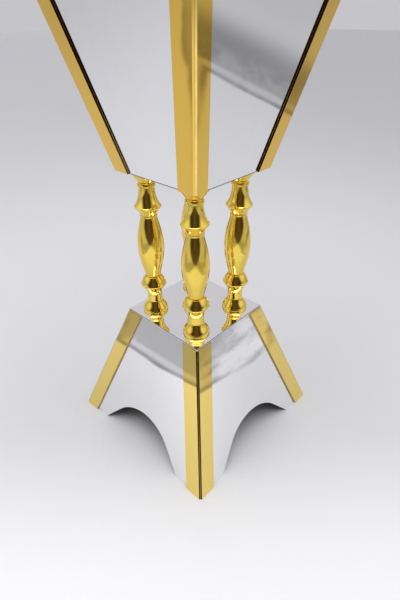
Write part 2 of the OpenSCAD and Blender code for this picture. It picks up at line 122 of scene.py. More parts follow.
class Graph:
    """Builds the node tree of one material or of the world."""

    def __init__(self, tree: bpy.types.NodeTree) -> None:
        """Start with an empty tree."""
        self.tree = tree
        tree.nodes.clear()

    def node(self, kind: str, inputs: Optional[Dict] = None, **settings: object) -> bpy.types.Node:
        """Add a node and set or link its inputs.

        Args:
            kind: Blender's name of the node type.
            inputs: Socket name or index, and its value or the socket to link.
            **settings: The node's own properties.

        Returns:
            The new node.
        """
        node = self.tree.nodes.new(kind)
        for key, value in settings.items():
            setattr(node, key, value)
        for key, value in (inputs or {}).items():
            socket = node.inputs[key]
            if isinstance(value, Socket):
                self.tree.links.new(value, socket)
            else:
                socket.default_value = value
        return node

    def place(self) -> Socket:
        """Give the place on the piece, in metres."""
        return self.node("ShaderNodeTexCoord").outputs["Object"]

    def stretched(
        self, place: Socket, scale: Sequence[float], turn: Sequence[float] = (0, 0, 0)
    ) -> Socket:
        """Scale a place along each axis and turn it about each, in degrees."""
        inputs = {"Vector": place, "Scale": scale, "Rotation": tuple(map(math.radians, turn))}
        return self.node("ShaderNodeMapping", inputs).outputs["Vector"]

    def noise(
        self, place: Socket, scale: float, detail: float = 2.0, rough: float = 0.5, fold: float = 0
    ) -> Socket:
        """Add a noise texture.

        Args:
            place: Where the noise is read.
            scale: Waves per metre.
            detail: Octaves of finer noise.
            rough: Strength of the finer octaves.
            fold: How much the noise folds into itself.

        Returns:
            A value from 0 to 1.
        """
        inputs = {"Vector": place, "Scale": scale, "Detail": detail}
        inputs.update({"Roughness": rough, "Distortion": fold})
        return self.node("ShaderNodeTexNoise", inputs).outputs["Fac"]

    def spread(
        self,
        value: Socket,
        low: float,
        high: float,
        to_low: float = 0.0,
        to_high: float = 1.0,
        smooth: bool = True,
    ) -> Socket:
        """Map a range of a value to another range, held at both ends.

        Args:
            value: The value to map.
            low: Where the range starts.
            high: Where the range ends.
            to_low: What the start becomes.
            to_high: What the end becomes.
            smooth: Whether both ends ease in and out.

        Returns:
            The mapped value.
        """
        inputs = {"Value": value, 1: low, 2: high, 3: to_low, 4: to_high}
        kind = "SMOOTHSTEP" if smooth else "LINEAR"
        return self.node("ShaderNodeMapRange", inputs, interpolation_type=kind).outputs["Result"]

    def maths(self, operation: str, a: Value, b: Value = 0.0) -> Socket:
        """Combine two values by Blender's name of an operation."""
        return self.node("ShaderNodeMath", {0: a, 1: b}, operation=operation).outputs[0]

    def plus(self, a: Value, b: Value) -> Socket:
        """Add two values."""
        return self.maths("ADD", a, b)

    def minus(self, a: Value, b: Value) -> Socket:
        """Take the second value from the first."""
        return self.maths("SUBTRACT", a, b)

    def times(self, a: Value, b: Value) -> Socket:
        """Multiply two values."""
        return self.maths("MULTIPLY", a, b)

    def weighted(self, a: Value, i: float, b: Value, j: float) -> Socket:
        """Add two values, each times its own factor."""
        return self.plus(self.times(a, i), self.times(b, j))

    def ramp(self, a: Value, b: Value, rate: float) -> Socket:
        """Give how far the first value is over the second, or 0, times a rate."""
        return self.times(self.maths("MAXIMUM", self.minus(a, b), 0.0), rate)

    def apart(self, a: Value, b: Value) -> Socket:
        """Give how far two values lie apart."""
        return self.maths("ABSOLUTE", self.minus(a, b))

    def blend(self, factor: Socket, a: Shade, b: Shade) -> Socket:
        """Blend two colours.

        Args:
            factor: 0 for the first colour and 1 for the second.
            a: First colour.
            b: Second colour.

        Returns:
            The blended colour.
        """
        a = a if isinstance(a, Socket) else (*a, 1.0)
        b = b if isinstance(b, Socket) else (*b, 1.0)
        return self.node("ShaderNodeMix", {0: factor, 6: a, 7: b}, data_type="RGBA").outputs[2]

    def bump(self, height: Socket, depth: float, under: Optional[Socket] = None) -> Socket:
        """Turn a height into a bumped normal.

        Args:
            height: The height, from 0 to 1.
            depth: What a height of 1 is, in metres.
            under: Another bumped normal to add to.

        Returns:
            The normal.
        """
        inputs = {"Height": height, "Distance": depth, "Strength": 1.0}
        if under is not None:
            inputs["Normal"] = under
        return self.node("ShaderNodeBump", inputs).outputs["Normal"]

    def surface(self, inputs: Dict) -> None:
        """Close the tree with a principled shader of these inputs."""
        shader = self.node("ShaderNodeBsdfPrincipled", inputs)
        self.node("ShaderNodeOutputMaterial", {"Surface": shader.outputs[0]})


# ------------------------------------------------------------------- finishes


@dataclass(frozen=True)
class Finish:
    """A surface finish.

    Args:
        name: Name of its material.
        colour: Its main colour, linear.
        roughness: Its middling roughness.
    """

    name: str
    colour: Colour
    roughness: float

    def material(self) -> bpy.types.Material:
        """Make the material, or give the one made before."""
        found = bpy.data.materials.get(self.name)
        if found is None:
            found = bpy.data.materials.new(self.name)
            found.use_nodes = True
            found.diffuse_color = (*self.colour, 1.0)
            self.fill(Graph(found.node_tree))
        return found

    def shade(self, share: float) -> Colour:
        """Give the colour, darkened to a share of itself."""
        return tuple(c * share for c in self.colour)

    def fill(self, graph: Graph) -> None:
        """Fill the material's node tree."""
        graph.surface({"Base Color": (*self.colour, 1.0), "Roughness": self.roughness})


@dataclass(frozen=True)
class MirrorFilm(Finish):
    """The mirrored film of an acrylic sheet, seen through its clear face.

    Args:
        wave_depth: Height of the sheet's slow waves, in metres.
        haze: How much wiped-on haze roughens the gloss.
        coat: Weight of the clear face's own gloss.
    """

    wave_depth: float = 0.00006
    haze: float = 0.05
    coat: float = 0.5

    def fill(self, graph: Graph) -> None:
        """Fill the tree: slow waves, wiped haze, hairlines and a clear coat.

        Args:
            graph: The tree's builder.
        """
        place = graph.place()
        rubbed = graph.stretched(place, (1.0, 1.0, 0.35), (20, 35, 0))
        wiped = graph.noise(rubbed, 9.0, 3.0, 0.6, 0.8)
        haze = graph.spread(wiped, 0.45, 0.8, self.roughness, self.roughness + self.haze)
        hairs = graph.noise(graph.stretched(place, (1.0, 6.0, 90.0), (31, 12, 54)), 14.0, 4.0, 0.7)
        worn = graph.spread(hairs, 0.68, 0.78, 0.0, 0.05)
        waves = graph.noise(place, 5.0, 1.0, 0.4)
        ripple = graph.noise(graph.stretched(place, (1.0, 1.0, 0.5)), 26.0, 1.0, 0.4)
        normal = graph.bump(ripple, self.wave_depth * 0.12, graph.bump(waves, self.wave_depth))
        tint = graph.blend(graph.spread(wiped, 0.3, 0.8), self.colour, self.shade(0.965))
        graph.surface(
            {
                "Base Color": tint,
                "Metallic": 1.0,
                "Roughness": graph.plus(haze, worn),
                "Coat Weight": self.coat,
                "Coat Roughness": 0.02,
                "Coat IOR": 1.49,
                "Normal": normal,
            }
        )


@dataclass(frozen=True)
class SheetEdge(Finish):
    """The flame-polished edge of an acrylic sheet.

    Args:
        metal: How much of the film's shine comes through the edge.
        gloss: Weight of the polish.
        glint: Strength of the plain reflection, 0.5 for clear plastic.
    """

    metal: float = 0.0
    gloss: float = 0.5
    glint: float = 0.5

    def fill(self, graph: Graph) -> None:
        """Fill the tree: fine saw lines under a polished gloss.

        Args:
            graph: The tree's builder.
        """
        place = graph.place()
        lines = graph.noise(graph.stretched(place, (400.0, 400.0, 30.0)), 2.0, 2.0, 0.6)
        tone = graph.spread(graph.noise(place, 60.0, 2.0), 0.3, 0.7)
        graph.surface(
            {
                "Base Color": graph.blend(tone, self.colour, self.shade(0.88)),
                "Metallic": self.metal,
                "Roughness": graph.spread(lines, 0.3, 0.8, self.roughness, self.roughness + 0.12),
                "Specular IOR Level": self.glint,
                "Coat Weight": self.gloss,
                "Coat Roughness": 0.08,
                "Normal": graph.bump(lines, 0.00001),
            }
        )


@dataclass(frozen=True)
class BackCoat(Finish):
    """The grey paint on the back of a mirror sheet."""

    def fill(self, graph: Graph) -> None:
        """Fill the tree: rolled paint with a faint mottle.

        Args:
            graph: The tree's builder.
        """
        place = graph.place()
        mottle = graph.noise(place, 35.0, 4.0, 0.6)
        grain = graph.noise(place, 900.0, 2.0, 0.5)
        tone = graph.spread(mottle, 0.3, 0.7)
        rough = graph.spread(mottle, 0.2, 0.8, self.roughness - 0.08, self.roughness + 0.06)
        graph.surface(
            {
                "Base Color": graph.blend(tone, self.colour, self.shade(0.86)),
                "Roughness": rough,
                "Normal": graph.bump(grain, 0.00003),
            }
        )


@dataclass(frozen=True)
class PlatedGold(Finish):
    """Bright gold plating over moulded plastic."""

    def fill(self, graph: Graph) -> None:
        """Fill the tree: soft orange peel, cloudy gloss and a warm tint drift.

        Args:
            graph: The tree's builder.
        """
        place = graph.place()
        cloud = graph.noise(place, 38.0, 3.0, 0.55)
        peel = graph.noise(place, 240.0, 2.0, 0.5)
        slow = graph.noise(place, 55.0, 1.0, 0.4)
        specks = graph.spread(graph.noise(place, 1300.0, 1.0), 0.74, 0.8, 0.0, 0.12)
        rough = graph.spread(cloud, 0.35, 0.75, self.roughness - 0.02, self.roughness + 0.05)
        warm = (self.colour[0], self.colour[1] * 0.93, self.colour[2] * 0.75)
        graph.surface(
            {
                "Base Color": graph.blend(graph.spread(cloud, 0.35, 0.7), self.colour, warm),
                "Metallic": 1.0,
                "Roughness": graph.plus(rough, specks),
                "Coat Weight": 0.35,
                "Coat Roughness": 0.05,
                "Normal": graph.bump(peel, 0.000004, graph.bump(slow, 0.00006)),
            }
        )


@dataclass(frozen=True)
class TurnedMetal(Finish):
    """Metal with fine tool marks, for fittings and fasteners.

    Args:
        stretch: Scale of the tool marks along each axis.
        tarnish: How dark the tarnished patches are, as a share of the colour.
    """

    stretch: Tuple[float, float, float] = (1.0, 1.0, 12.0)
    tarnish: float = 0.8

    def fill(self, graph: Graph) -> None:
        """Fill the tree: tool marks, patches of tarnish and handled gloss.

        Args:
            graph: The tree's builder.
        """
        place = graph.place()
        marks = graph.noise(graph.stretched(place, self.stretch), 320.0, 3.0, 0.65)
        patches = graph.spread(graph.noise(place, 120.0, 3.0, 0.6), 0.42, 0.7)
        rough = graph.spread(marks, 0.25, 0.75, self.roughness - 0.06, self.roughness + 0.1)
        graph.surface(
            {
                "Base Color": graph.blend(patches, self.colour, self.shade(self.tarnish)),
                "Metallic": 1.0,
                "Roughness": graph.plus(rough, graph.times(patches, 0.08)),
                "Normal": graph.bump(marks, 0.000008),
            }
        )


@dataclass(frozen=True)
class MirrorSheet:
    """The finishes of one kind of mirror sheet.

    Args:
        face: The mirrored face.
        back: The painted back.
        edge: The cut edges.
        arris: The eased corners between face and edge.
        line: The near-black finish of a line of painted shade along some edges and in the base's
            corner notches.
        slot: The material slot of the sheet.
    """

    face: MirrorFilm
    back: BackCoat
    edge: SheetEdge
    arris: SheetEdge
    line: SheetEdge
    slot: Slot

    def materials(self) -> List[bpy.types.Material]:
        """Give the materials in the order of SheetSide."""
        finishes = (self.face, self.back, self.edge, self.arris, self.line)
        return [finish.material() for finish in finishes]


BACK_PAINT = BackCoat("grey_back_paint", (0.055, 0.048, 0.047), 0.5)
SILVER_SHEET = MirrorSheet(
    MirrorFilm("silver_mirror_face", (0.925, 0.925, 0.935), 0.012),
    BACK_PAINT,
    SheetEdge("clear_sheet_edge", (0.93, 0.93, 0.94), 0.10),
    SheetEdge("clear_sheet_arris", (0.96, 0.96, 0.96), 0.18, metal=0.6),
    # Painted shade: a near-black line along edges where shade falls.
    SheetEdge("clear_sheet_painted_shade_line", (0.035, 0.035, 0.038), 0.08),
    Slot.SILVER,
)
BOX_GOLD = MirrorSheet(
    MirrorFilm("gold_mirror_face", (0.885, 0.575, 0.105), 0.02, haze=0.07, coat=0.12),
    BACK_PAINT,
    SheetEdge("gold_sheet_edge", (0.10, 0.04, 0.008), 0.12, metal=1.0),
    SheetEdge("gold_sheet_arris", (0.98, 0.74, 0.22), 0.08, metal=1.0),
    # Painted shade: a near-black line, kept for edges where shade falls.
    SheetEdge("gold_sheet_painted_shade_line", (0.03, 0.014, 0.005), 0.14, metal=1.0),
    Slot.GOLD,
)
BASE_GOLD = MirrorSheet(
    MirrorFilm("pale_gold_mirror_face", (0.94, 0.71, 0.20), 0.02, haze=0.06, coat=0.15),
    BACK_PAINT,
    SheetEdge("pale_gold_sheet_edge", (0.36, 0.21, 0.05), 0.12, metal=1.0),
    SheetEdge("pale_gold_sheet_arris", (0.80, 0.56, 0.18), 0.16, metal=1.0),
    # Painted shade: the near-black, dull finish of the corner notches between the base's strips.
    SheetEdge("pale_gold_mitre_painted_shade", (0.05, 0.02, 0.001), 0.2, gloss=0.05, glint=0.25),
    Slot.GOLD,
)
PLATED = PlatedGold("plated_gold", (0.90, 0.68, 0.12), 0.09)
BRASS = TurnedMetal("polished_brass", (0.83, 0.60, 0.25), 0.16, (8.0, 1.0, 1.0), 0.72)
PIN_STEEL = TurnedMetal("bright_steel", (0.62, 0.62, 0.63), 0.22, (1.0, 12.0, 12.0), 0.82)
ZINC_STEEL = TurnedMetal("zinc_plated_steel", (0.58, 0.59, 0.60), 0.27, (1.0, 1.0, 10.0), 0.8)
LOCK_BRASS = TurnedMetal("lock_brass", (0.87, 0.63, 0.22), 0.12, (1.0, 1.0, 14.0), 0.8)
LOCK_STEEL = TurnedMetal("lock_steel", (0.66, 0.66, 0.68), 0.18, (9.0, 1.0, 1.0), 0.8)


# ---------------------------------------------------------------- mesh making


def new_piece(name: str, bm: Mesh, finishes: Sequence[bpy.types.Material]) -> Piece:
    """Turn a finished bmesh into an object with its materials.

    Args:
        name: Name of the piece.
        bm: The mesh. It is freed.
        finishes: The material of each material index.

    Returns:
        The new object.
    """
    mesh = bpy.data.meshes.new(name)
    bmesh.ops.recalc_face_normals(bm, faces=bm.faces)
    bm.to_mesh(mesh)
    bm.free()
    for material in finishes:
        mesh.materials.append(material)
    piece = bpy.data.objects.new(name, mesh)
    bpy.context.scene.collection.objects.link(piece)
    return piece


def smooth_rounds(piece: Piece, angle: float = 28.0) -> Piece:
    """Shade curved faces smoothly and keep sharp edges crisp.

    Args:
        piece: The piece to shade.
        angle: Edges that turn by more than this many degrees stay sharp.

    Returns:
        The same piece.
    """
    mesh = piece.data
    mesh.polygons.foreach_set("use_smooth", [True] * len(mesh.polygons))
    mesh.set_sharp_from_angle(angle=math.radians(angle))
    return piece


def fit(piece: Piece, body: Body, slot: Slot, *nodes: str) -> None:
    """Fit a finished piece to the frame.

    Args:
        piece: The piece.
        body: The body it rides on.
        slot: The material slot of its finish; not used.
        *nodes: The frame's nodes that it stands for.
    """
    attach(piece, body.value)
    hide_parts(*nodes)
    log.info("%s rides on %s", piece.name, body.value)


def dress(
    name: str, bm: Mesh, finish: Finish, body: Body, slot: Slot, node: str, angle: float = 28.0
) -> None:
    """Make a piece of one finish, smooth up to an angle between faces, and fit it to a node."""
    piece = new_piece(name, bm, [finish.material()])
    fit(smooth_rounds(piece, angle), body, slot, node)


def eased(node: Piece, chamfer: float, sharp: float = 25.0) -> Mesh:
    """Copy a frame node's mesh with clean faces and eased edges.

    Args:
        node: The frame's node.
        chamfer: Width of the easing, in metres.
        sharp: Edges that turn by more than this many degrees are eased.

    Returns:
        The new mesh.
    """
    bm = bmesh.new()
    bm.from_mesh(node.data)
    bmesh.ops.remove_doubles(bm, verts=bm.verts, dist=WELD)
    bmesh.ops.dissolve_limit(bm, angle_limit=math.radians(0.4), verts=bm.verts, edges=bm.edges)
    bm.normal_update()
    limit = math.radians(sharp)
    edges = [e for e in bm.edges if len(e.link_faces) == 2 and e.calc_face_angle() > limit]
    bmesh.ops.bevel(
        bm,
        geom=edges,
        offset=chamfer,
        offset_type="OFFSET",
        segments=2,
        profile=0.5,
        affect="EDGES",
        clamp_overlap=True,
    )
    bm.normal_update()
    return bm


def turned_ring(bm: Mesh, place: Matrix, steps: int, shape: Callable[[float], Point]) -> Ring:
    """Add a ring of points about the Z axis.

    Args:
        bm: The mesh to add to.
        place: Where the ring goes.
        steps: How many points it has.
        shape: Gives the radius and height at an angle.

    Returns:
        The ring.
    """
    ring = []
    for step in range(steps):
        a = 2 * math.pi * step / steps
        radius, height = shape(a)
        point = Vector((radius * math.cos(a), radius * math.sin(a), height))
        ring.append(bm.verts.new(place @ point))
    return ring


def skin(bm: Mesh, rings: List[Ring], capped: bool = False) -> None:
    """Join rings with faces.

    Args:
        bm: The mesh to add to.
        rings: The rings, in order, with as many points each.
        capped: Close the first and last ring, instead of joining them.
    """
    count = len(rings[0])
    for one, other in zip(rings, rings[1:] if capped else rings[1:] + rings[:1]):
        for j in range(count):
            k = (j + 1) % count
            bm.faces.new((one[j], one[k], other[k], other[j]))
    if capped:
        bm.faces.new(list(reversed(rings[0])))
        bm.faces.new(rings[-1])


def lathe(bm: Mesh, outline: Sequence[Point], steps: int, place: Matrix) -> None:
    """Turn a closed outline of radii and heights about the Z axis of a place."""
    skin(bm, [turned_ring(bm, place, steps, lambda a, p=point: p) for point in outline])


def softened(
    outline: Sequence[Point], radius: float, turn: float = 18.0, steps: int = 3
) -> List[Point]:
    """Round the corners of an open outline.

    Args:
        outline: Radius and height of each point.
        radius: Reach of the rounding along both legs of a corner.
        turn: Corners that turn by less than this many degrees stay.
        steps: Points of each rounding, less one.

    Returns:
        The rounded outline.
    """
    points = [Vector(p) for p in outline]
    made = [tuple(points[0])]
    for before, corner, after in zip(points, points[1:], points[2:]):
        a, b = before - corner, after - corner
        if a.length < 1e-7 or b.length < 1e-7:
            continue
        bend = 180.0 - math.degrees(a.angle(b))
        if bend < turn:
            made.append(tuple(corner))
            continue
        start = corner + a.normalized() * min(radius, a.length * 0.4)
        end = corner + b.normalized() * min(radius, b.length * 0.4)
        for s in range(steps + 1):
            t = s / steps
            made.append(tuple(start * (1 - t) ** 2 + corner * 2 * t * (1 - t) + end * t**2))
    made.append(tuple(points[-1]))
    return made


def prism(bm: Mesh, outline: Sequence[Point], low: float, high: float, chamfer: float) -> None:
    """Raise a convex outline into a plate with eased edges.

    Args:
        bm: The mesh to add to.
        outline: The plate's corners, seen from above.
        low: Height of its underside.
        high: Height of its top.
        chamfer: Width of the easing.
    """
    count = len(outline)
    inner = []
    for i in range(count):
        before, here, after = (Vector(outline[(i + d) % count]) for d in (-1, 0, 1))
        a, b = (before - here).normalized(), (after - here).normalized()
        reach = chamfer / math.sin(a.angle(b) / 2)
        inner.append(here + (a + b).normalized() * reach)
    levels = ((inner, low), (outline, low + chamfer), (outline, high - chamfer), (inner, high))
    rings = [[bm.verts.new((*p, height)) for p in points] for points, height in levels]
    skin(bm, rings, capped=True)


def hexagon_nut(bm: Mesh, flats: float, height: float, bore: float, place: Matrix) -> None:
    """Make a hexagon nut with turned chamfers and a countersunk bore.

    Args:
        bm: The mesh to add to.
        flats: Width across the flats.
        height: Height of the nut.
        bore: Radius of its hole.
        place: Where the nut goes.
    """
    crown = flats / 2 * 0.96
    sink = min(bore, height) * 0.12

    def flank(a: float) -> float:
        """Give the hexagon's radius at an angle."""
        return flats / 2 / math.cos((a % (math.pi / 3)) - math.pi / 6)

    def drop(a: float) -> float:
        """Give how far the chamfer cuts down the flank at an angle."""
        return (flank(a) - crown) * math.tan(math.radians(30))

    lower = (
        lambda a: (bore, sink),
        lambda a: (bore + sink, 0.0),
        lambda a: (crown, 0.0),
        lambda a: (flank(a), drop(a)),
    )
    upper = [lambda a, s=shape: (s(a)[0], height - s(a)[1]) for shape in reversed(lower)]
    skin(bm, [turned_ring(bm, place, 72, shape) for shape in (*lower, *upper)])


def threaded_rod(
    bm: Mesh, radius: float, low: float, high: float, thread: float, pitch: float, place: Matrix
) -> None:
    """Make a rod with a real helical thread at both ends.

    Args:
        bm: The mesh to add to.
        radius: Outer radius of the rod.
        low: Height of its lower end.
        high: Height of its upper end.
        thread: Length of the thread at each end.
        pitch: Pitch of the thread.
        place: Where the rod's axis goes.
    """
    rise, around = pitch / 8, 24
    count = int(thread / rise)
    heights = [low + i * rise for i in range(count + 1)]
    heights += [high - (count - i) * rise for i in range(count + 1)]

    def shape(z: float, a: float) -> Point:
        """Give the thread's radius at a height and an angle."""
        end = min(z - low, high - z)
        fade = max(0.0, min(1.0, (thread - end) / (2 * pitch)))
        point = min(1.0, (end + 0.3 * pitch) / (1.2 * pitch))
        turn = (z / pitch - a / (2 * math.pi)) % 1.0
        cut = pitch / 2 * abs(2 * turn - 1) * fade
        return (radius - cut) * (0.72 + 0.28 * point), z

    skin(bm, [turned_ring(bm, place, around, partial(shape, z)) for z in heights], capped=True)


def cut_away(piece: Piece, cutter: Piece) -> None:
    """Cut one mesh out of another and delete the cutter.

    Args:
        piece: The mesh that stays.
        cutter: The mesh that is cut away.
    """
    modifier = piece.modifiers.new("cut", "BOOLEAN")
    modifier.operation = "DIFFERENCE"
    modifier.solver = "EXACT"
    modifier.use_self = True
    modifier.object = cutter
    graph = bpy.context.evaluated_depsgraph_get()
    graph.update()
    mesh = bpy.data.meshes.new_from_object(piece.evaluated_get(graph))
    piece.modifiers.clear()
    old = piece.data
    piece.data = mesh
    bpy.data.meshes.remove(old)
    bpy.data.objects.remove(cutter)


# ------------------------------------------------------------- sheets, strips


@dataclass
class SheetWork:
    """Cuts and dresses mirror sheets.

    Args:
        nodes: The frame's nodes by name.
        easing: Width of the eased edges.
        sharp: Only corners that turn by more than this many degrees are eased.
    """

    nodes: Dict[str, Piece]
    easing: float = 0.25 * MM
    sharp: float = 50.0

    def sheet(
        self,
        name: str,
        node: str,
        kind: MirrorSheet,
        outward: Vector,
        body: Body = Body.STAND,
        line: Sequence[float] = (),
        facet: SheetSide = SheetSide.FACE,
    ) -> None:
        """Make one sheet with its face, back and edges.

        Args:
            name: Name of the piece.
            node: The frame's node that gives its outline.
            kind: The kind of mirror sheet.
            outward: Roughly the way its mirrored face looks.
            body: The body it rides on.
            line: The heights between which a dark line of painted shade runs.
            facet: The place whose finish a broad facet gets.
        """
        bm = eased(self.nodes[node], self.easing, self.sharp)
        normal = max(bm.faces, key=lambda f: f.calc_area()).normal.copy()
        if normal.dot(outward) < 0:
            normal.negate()
        for height in line:
            whole = bm.verts[:] + bm.edges[:] + bm.faces[:]
            bmesh.ops.bisect_plane(bm, geom=whole, plane_co=(0, 0, height), plane_no=(0, 0, 1))
        for face in bm.faces:
            side = self.side(face, normal, facet)
            # Outside the back, polygons between the line's heights get the near-black finish of a
            # painted shade line.
            if line and side != SheetSide.BACK and line[0] < face.calc_center_median().z < line[1]:
                side = SheetSide.PAINTED_SHADE
            face.material_index = side.value
        fit(new_piece(name, bm, kind.materials()), body, kind.slot, node)

    @staticmethod
    def side(face: Face, normal: Vector, facet: SheetSide = SheetSide.FACE) -> SheetSide:
        """Tell which place of the sheet a polygon belongs to.

        Args:
            face: The polygon.
            normal: The way the sheet's mirrored face looks.
            facet: The place that a broad sloping polygon counts as.

        Returns:
            The place.
        """
        facing = face.normal.dot(normal)
        if facing > FLAT:
            return SheetSide.FACE
        if facing > SLOPED and face.calc_area() > BROAD:
            return facet
        if facing < -FLAT:
            return SheetSide.BACK
        return SheetSide.ARRIS if abs(facing) > EASED else SheetSide.EDGE

    @staticmethod
    def outward(side: int) -> Vector:
        """Give the way that a side looks, by its number."""
        return Matrix.Rotation(math.pi / 2 * side, 3, "Z") @ Vector((0.0, -1.0, 0.0))

    def strips(self, part: str, kind: MirrorSheet, facets: Sequence[SheetSide]) -> None:
        """Make the eight gold strips of the base or of the box.

        Args:
            part: "base" or "box".
            kind: The kind of mirror sheet.
            facets: What the mitre facets count as, on the left and right strip of a side.
        """
        for k, side in enumerate(SIDES):
            for edge, facet in zip(EDGES[k], facets):
                name = f"{part}_gold_strip_{side}_{edge}"
                node = f"{part}_strip_{side}_{edge}"
                self.sheet(name, node, kind, self.outward(k), facet=facet)


@dataclass
class FlaredBase(SheetWork):
    """The flared base: four arched panels, their gold strips and a top plate.

    Args:
        rim_shade_line: The heights of a dark line of painted shade round the plate's edge.
    """

    rim_shade_line: Tuple[float, float] = (208.3 * MM, 209.75 * MM)

    def build(self) -> None:
        """Make every sheet of the base."""
        for k, side in enumerate(SIDES):
            self.sheet(f"base_mirror_{side}", f"base_panel_{side}", SILVER_SHEET, self.outward(k))
        up = Vector((0, 0, 1))
        # The plate's rim carries a dark line of painted shade.
        self.sheet("base_top_mirror", "base_top_plate", SILVER_SHEET, up, line=self.rim_shade_line)
        # The mitre facets in the base's corner notches are painted dark as shade.
        self.strips("base", BASE_GOLD, (SheetSide.PAINTED_SHADE, SheetSide.PAINTED_SHADE))


@dataclass
class PyramidBox(SheetWork):
    """The upturned pyramid: four walls, their gold strips and a floor.

    Args:
        foot_shade_line: The heights of a dark line of painted shade along the walls' foot.
    """

    foot_shade_line: Tuple[float, float] = (430.0 * MM, 432.3 * MM)

    def build(self) -> None:
        """Make every sheet of the box."""
        for k, side in enumerate(SIDES):
            name, node = f"box_mirror_{side}", f"box_wall_{side}"
            # Each wall's foot carries a dark line of painted shade.
            self.sheet(name, node, SILVER_SHEET, self.outward(k), line=self.foot_shade_line)
        self.sheet("box_floor_mirror", "box_floor", SILVER_SHEET, Vector((0, 0, -1)))
        self.strips("box", BOX_GOLD, (SheetSide.ARRIS, SheetSide.FACE))


@dataclass
class Lid(SheetWork):
    """The lid: its mirror sheet, mitred gold border and framed card slot.

    Args:
        half: Half the lid's width.
        front: How far its front edge stands from the middle.
        low: Height of the border's underside.
        thick: Thickness of the border.
        border: Width of the border.
        joint: Width of the hairline at each mitre.
    """

    half: float = 145.084 * MM
    front: float = 151.084 * MM
    low: float = 734.0 * MM
    thick: float = 3.0 * MM
    border: float = 28.0 * MM
    joint: float = 0.12 * MM

    def build(self) -> None:
        """Make the lid's pieces."""
        up = Vector((0, 0, 1))
        self.sheet("lid_mirror", "lid_panel", SILVER_SHEET, up, Body.LID)
        self.sheet("slot_gold_frame", "slot_frame", BOX_GOLD, up, Body.LID)
        self.mitred_border()

    def mitred_border(self) -> None:
        """Make the border from four mitred strips."""
        b = self.border
        outer = [(-self.half, -self.front), (self.half, -self.front)]
        outer += [(self.half, self.half), (-self.half, self.half)]
        inner = [(x - math.copysign(b, x), y - math.copysign(b, y)) for x, y in outer]
        bm = bmesh.new()
        for i in range(4):
            k = (i + 1) % 4
            along = (Vector(outer[k]) - Vector(outer[i])).normalized() * self.joint
            ends = ((outer[i], 1), (outer[k], -1), (inner[k], -1), (inner[i], 1))
            corners = [tuple(Vector(p) + along * way) for p, way in ends]
            prism(bm, corners, self.low, self.low + self.thick, self.easing)
        bm.normal_update()
        for face in bm.faces:
            face.material_index = self.side(face, Vector((0, 0, 1))).value
        piece = new_piece("lid_gold_border", bm, BOX_GOLD.materials())
        fit(piece, Body.LID, Slot.GOLD, "lid_border")


# -------------------------------------------------------------------- pillars


